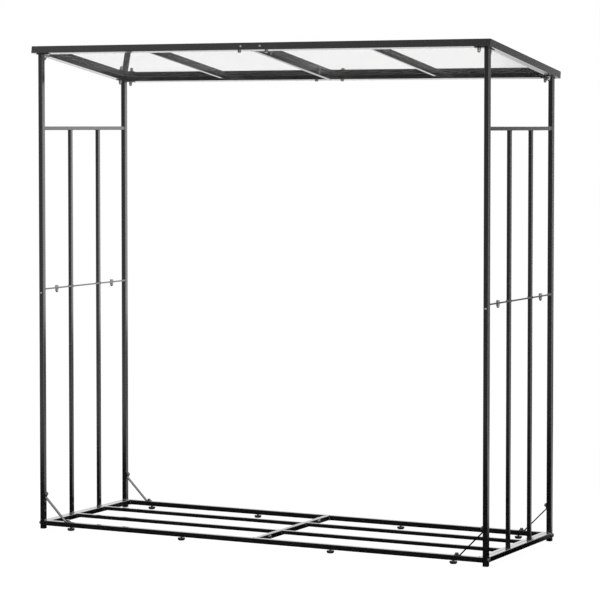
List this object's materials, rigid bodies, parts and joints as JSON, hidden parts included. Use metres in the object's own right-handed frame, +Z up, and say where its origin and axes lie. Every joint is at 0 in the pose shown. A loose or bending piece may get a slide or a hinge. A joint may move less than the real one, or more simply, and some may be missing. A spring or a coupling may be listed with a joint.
{
  "type": "firewood log rack",
  "caption": "Free-standing outdoor firewood rack: barred tube end frames, a slatted base on screw feet and a sloping glossy panel roof, open at the front and back.",
  "frame": {"origin": "on the floor, under the middle of the rack", "axes": "+X along the width to the right seen from the front, +Y from the open front to the back, +Z up"},
  "size_m": [2, 0.7194, 1.9587],
  "materials": {
    "frame_paint": "satin powder coat",
    "trim_paint": "satin powder coat",
    "roof_sheet": "glossy, passes light",
    "cap_plastic": "matte",
    "foot_plastic": "matte",
    "zinc_plate": "zinc plated"
  },
  "bodies": {
    "rack": {"base_back_rail_left": "frame_paint", "base_back_rail_right": "frame_paint", "base_centre_rail_left": "frame_paint", "base_centre_rail_right": "frame_paint", "base_end_rail_left": "frame_paint", "base_end_rail_right": "frame_paint", "base_front_rail_left": "frame_paint", "base_front_rail_right": "frame_paint", "base_slats_left": "frame_paint", "base_slats_right": "frame_paint", "braces": "frame_paint", "button_screws": "zinc_plate", "cap_nuts": "zinc_plate", "corner_plates": "frame_paint", "end_bottom_rail_left": "frame_paint", "end_bottom_rail_right": "frame_paint", "end_top_bar_left": "frame_paint", "end_top_bar_right": "frame_paint", "hex_bolts": "zinc_plate", "joint_sleeves": "zinc_plate", "lower_back_post_left": "frame_paint", "lower_back_post_right": "frame_paint", "lower_bars_left": "frame_paint", "lower_bars_right": "frame_paint", "lower_front_post_left": "frame_paint", "lower_front_post_right": "frame_paint", "mid_flanges": "frame_paint", "post_caps": "cap_plastic", "roof_back_beam_left": "frame_paint", "roof_back_beam_right": "frame_paint", "roof_bolts": "zinc_plate", "roof_centre_rafter_left": "frame_paint", "roof_centre_rafter_right": "frame_paint", "roof_end_rafter_left": "frame_paint", "roof_end_rafter_right": "frame_paint", "roof_front_beam_left": "frame_paint", "roof_front_beam_right": "frame_paint", "roof_mid_rafter_left": "frame_paint", "roof_mid_rafter_right": "frame_paint", "roof_panel_left": "roof_sheet", "roof_panel_right": "roof_sheet", "roof_trim_left": "trim_paint", "roof_trim_right": "trim_paint", "threaded_inserts": "zinc_plate", "trim_joiners": "zinc_plate", "upper_back_post_left": "frame_paint", "upper_back_post_right": "frame_paint", "upper_bars_left": "frame_paint", "upper_bars_right": "frame_paint", "upper_front_post_left": "frame_paint", "upper_front_post_right": "frame_paint", "washers": "zinc_plate"},
    "foot_back_left_inner": {"foot_back_left_inner": "foot_plastic"},
    "foot_back_left_outer": {"foot_back_left_outer": "foot_plastic"},
    "foot_back_right_inner": {"foot_back_right_inner": "foot_plastic"},
    "foot_back_right_outer": {"foot_back_right_outer": "foot_plastic"},
    "foot_front_left_inner": {"foot_front_left_inner": "foot_plastic"},
    "foot_front_left_outer": {"foot_front_left_outer": "foot_plastic"},
    "foot_front_right_inner": {"foot_front_right_inner": "foot_plastic"},
    "foot_front_right_outer": {"foot_front_right_outer": "foot_plastic"}
  },
  "joints": [
    {"name": "foot_back_left_inner_screw", "type": "slide", "parent": "rack", "child": "foot_back_left_inner", "axis": [0, 0, -1], "range_m": [-0.003, 0.008]},
    {"name": "foot_back_left_outer_screw", "type": "slide", "parent": "rack", "child": "foot_back_left_outer", "axis": [0, 0, -1], "range_m": [-0.003, 0.008]},
    {"name": "foot_back_right_inner_screw", "type": "slide", "parent": "rack", "child": "foot_back_right_inner", "axis": [0, 0, -1], "range_m": [-0.003, 0.008]},
    {"name": "foot_back_right_outer_screw", "type": "slide", "parent": "rack", "child": "foot_back_right_outer", "axis": [0, 0, -1], "range_m": [-0.003, 0.008]},
    {"name": "foot_front_left_inner_screw", "type": "slide", "parent": "rack", "child": "foot_front_left_inner", "axis": [0, 0, -1], "range_m": [-0.003, 0.008]},
    {"name": "foot_front_left_outer_screw", "type": "slide", "parent": "rack", "child": "foot_front_left_outer", "axis": [0, 0, -1], "range_m": [-0.003, 0.008]},
    {"name": "foot_front_right_inner_screw", "type": "slide", "parent": "rack", "child": "foot_front_right_inner", "axis": [0, 0, -1], "range_m": [-0.003, 0.008]},
    {"name": "foot_front_right_outer_screw", "type": "slide", "parent": "rack", "child": "foot_front_right_outer", "axis": [0, 0, -1], "range_m": [-0.003, 0.008]}
  ]
}
